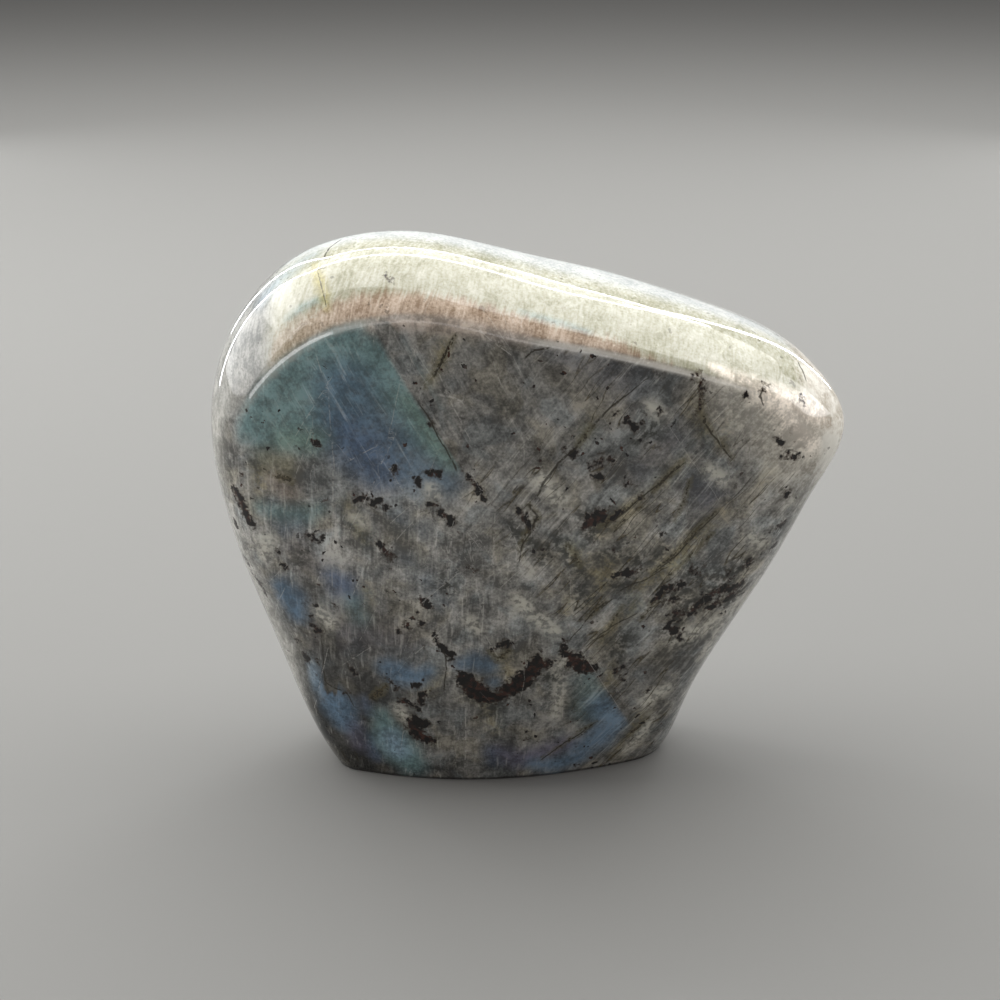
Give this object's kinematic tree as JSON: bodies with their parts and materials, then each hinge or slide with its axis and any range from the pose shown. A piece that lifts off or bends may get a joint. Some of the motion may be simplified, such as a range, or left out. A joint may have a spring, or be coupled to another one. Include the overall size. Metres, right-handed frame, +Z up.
{
  "type": "labradorite freeform",
  "caption": "Polished freeform display stone of grey-blue labradorite, domed faces and rounded rim, standing upright on a flat sawn base.",
  "frame": {"origin": "in the plane of the flat base, under the middle of the stone's bounding box", "axes": "+X along the length towards the pointed end, -Y out of the polished front face, +Z up"},
  "size_m": [0.097, 0.035, 0.0887],
  "materials": {
    "labradorite": "high polish, grey with blue and teal flash and dark inclusions"
  },
  "bodies": {
    "root": {"labradorite_stone": "labradorite"}
  },
  "joints": []
}
